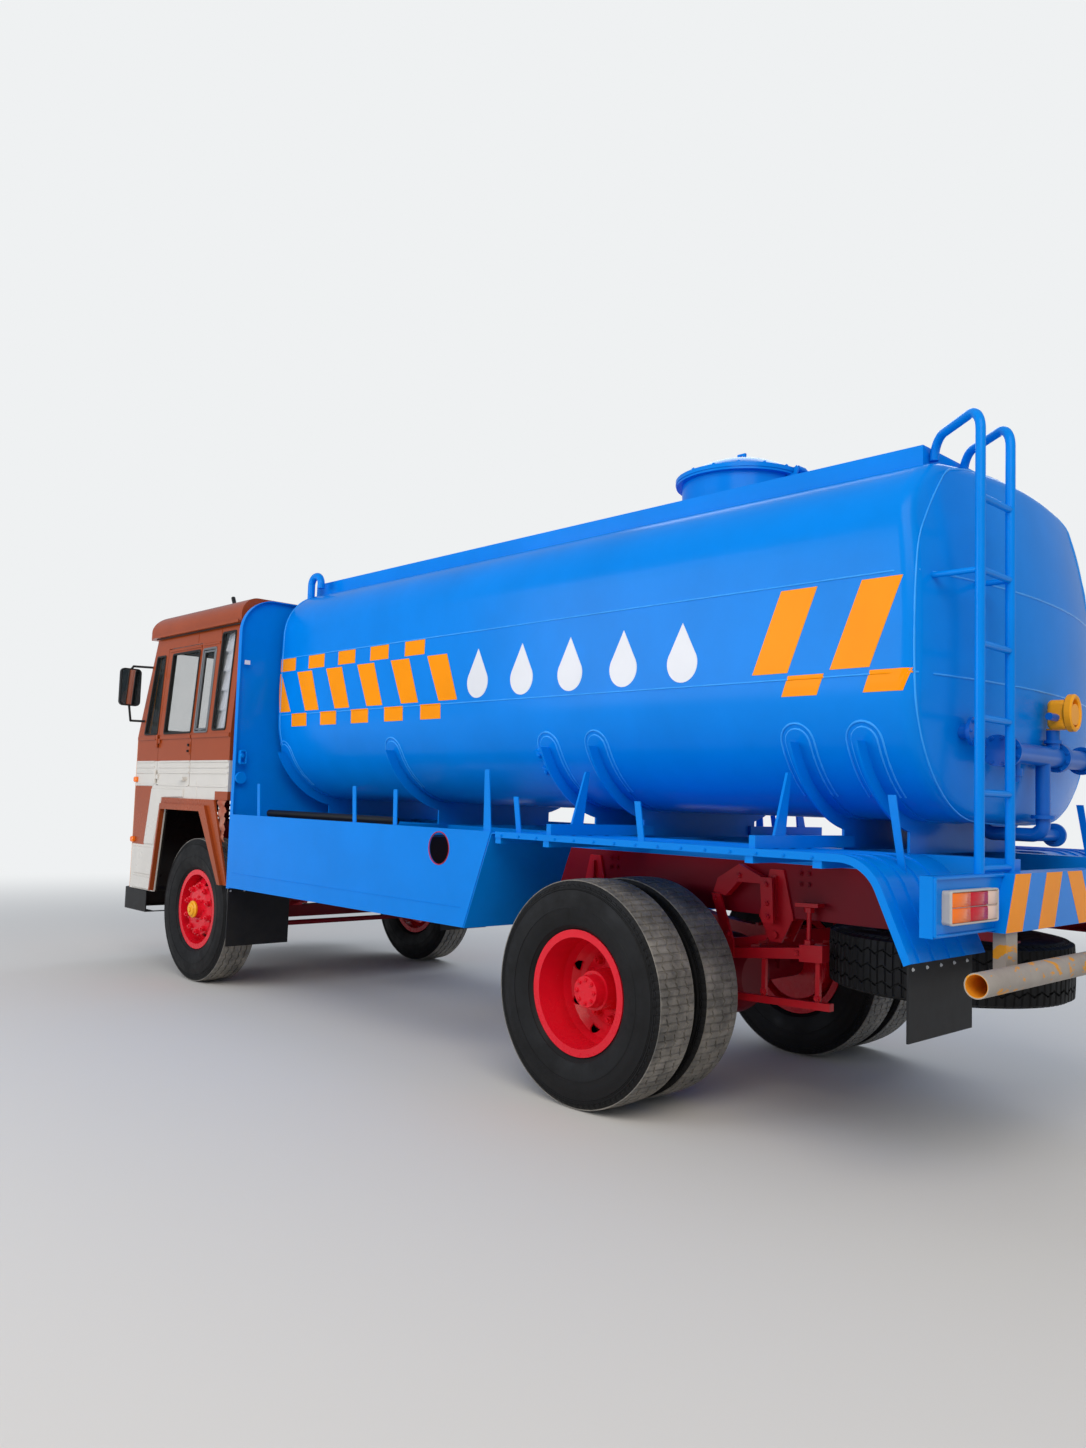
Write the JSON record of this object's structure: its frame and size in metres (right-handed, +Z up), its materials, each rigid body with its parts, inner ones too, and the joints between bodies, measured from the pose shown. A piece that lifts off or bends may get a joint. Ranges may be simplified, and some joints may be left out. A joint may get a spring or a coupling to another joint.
{
  "type": "tanker truck",
  "caption": "Two-axle water tanker truck with a flat-nosed cab, a blue pillow-section tank, a rear ladder and twin rear wheels.",
  "frame": {"origin": "on the ground under the middle of the whole truck", "axes": "+Y towards the rear, along the length, +X towards the truck's left side, +Z up"},
  "size_m": [2.7, 7.2499, 3.3643],
  "materials": {
    "blue_paint": "gloss",
    "cab_paint": "gloss",
    "trim_paint": "gloss",
    "cab_lining": "matte",
    "chassis_paint": "satin",
    "spring_steel": "matte",
    "engine_iron": "matte",
    "rim_paint": "gloss",
    "tyre_rubber": "matte",
    "flap_rubber": "matte",
    "glass": "gloss",
    "black_paint": "satin",
    "seat_cover": "matte",
    "lamp_lens": "gloss",
    "underrun_paint": "satin"
  },
  "bodies": {
    "root": {"arch_trims": "trim_paint", "bearers": "blue_paint", "body_posts": "blue_paint", "cab_floor": "cab_lining", "cab_front": "cab_paint", "cab_glass": "glass", "cab_interior": "cab_lining", "cab_mounts": "chassis_paint", "cab_rear_wall": "cab_paint", "cab_roof": "cab_paint", "cab_sides": "cab_paint", "carried_hose": "flap_rubber", "chassis_rails": "chassis_paint", "chassis_tanks": "black_paint", "coamings": "blue_paint", "cross_members": "chassis_paint", "driveline": "chassis_paint", "engine_block": "engine_iron", "front_axle": "chassis_paint", "front_bumper": "black_paint", "grille": "black_paint", "headboard": "blue_paint", "ladder": "blue_paint", "lamps": "lamp_lens", "leaf_springs": "spring_steel", "mirrors": "black_paint", "mud_flaps": "flap_rubber", "pipework": "blue_paint", "rear_axle": "chassis_paint", "rear_bumper": "blue_paint", "rear_fenders": "blue_paint", "seats": "seat_cover", "side_panels": "blue_paint", "spare_wheel": "tyre_rubber", "spring_hangers": "chassis_paint", "tank": "blue_paint", "tank_fittings": "blue_paint", "tank_saddles": "blue_paint", "underrun_bar": "underrun_paint"},
    "knuckle_left": {"knuckle_left": "chassis_paint"},
    "knuckle_right": {"knuckle_right": "chassis_paint"},
    "wheel_front_left": {"front_tyre_left": "tyre_rubber", "front_wheel_left": "rim_paint"},
    "wheel_front_right": {"front_tyre_right": "tyre_rubber", "front_wheel_right": "rim_paint"},
    "wheels_rear_left": {"rear_tyres_left": "tyre_rubber", "rear_wheels_left": "rim_paint"},
    "wheels_rear_right": {"rear_tyres_right": "tyre_rubber", "rear_wheels_right": "rim_paint"},
    "door_left": {"door_left": "cab_paint", "door_glass_left": "glass"},
    "door_right": {"door_right": "cab_paint", "door_glass_right": "glass"},
    "manhole_lid": {"manhole_lid": "blue_paint"},
    "track_rod": {"track_rod": "chassis_paint"}
  },
  "joints": [
    {"name": "steer_left", "type": "hinge", "parent": "root", "child": "knuckle_left", "pos_m": [0.85, -2.305, 0.525], "axis": [0, 0, 1], "range_deg": [-30, 30]},
    {"name": "steer_right", "type": "hinge", "parent": "root", "child": "knuckle_right", "pos_m": [-0.85, -2.305, 0.525], "axis": [0, 0, 1], "range_deg": [-30, 30]},
    {"name": "track_rod_slide", "type": "slide", "parent": "root", "child": "track_rod", "axis": [1, 0, 0], "range_m": [-0.1, 0.1]},
    {"name": "spin_front_left", "type": "hinge", "parent": "knuckle_left", "child": "wheel_front_left", "pos_m": [1.002, -2.305, 0.525], "axis": [1, 0, 0], "continuous": true},
    {"name": "spin_front_right", "type": "hinge", "parent": "knuckle_right", "child": "wheel_front_right", "pos_m": [-1.002, -2.305, 0.525], "axis": [1, 0, 0], "continuous": true},
    {"name": "spin_rear_left", "type": "hinge", "parent": "root", "child": "wheels_rear_left", "pos_m": [0.902, 1.725, 0.525], "axis": [1, 0, 0], "continuous": true},
    {"name": "spin_rear_right", "type": "hinge", "parent": "root", "child": "wheels_rear_right", "pos_m": [-0.902, 1.725, 0.525], "axis": [1, 0, 0], "continuous": true},
    {"name": "open_door_left", "type": "hinge", "parent": "root", "child": "door_left", "pos_m": [1.162, -3.027, 1.64], "axis": [0, 0, -1], "range_deg": [0, 70]},
    {"name": "open_door_right", "type": "hinge", "parent": "root", "child": "door_right", "pos_m": [-1.162, -3.027, 1.64], "axis": [0, 0, 1], "range_deg": [0, 70]},
    {"name": "open_manhole_lid", "type": "hinge", "parent": "root", "child": "manhole_lid", "pos_m": [0, 2.129, 3.199], "axis": [-1, 0, 0], "range_deg": [0, 100]}
  ],
  "couplings": [
    {"joint": "steer_right", "follows": "steer_left", "ratio": 1},
    {"joint": "track_rod_slide", "follows": "steer_left", "m_per_rad": -0.19}
  ]
}
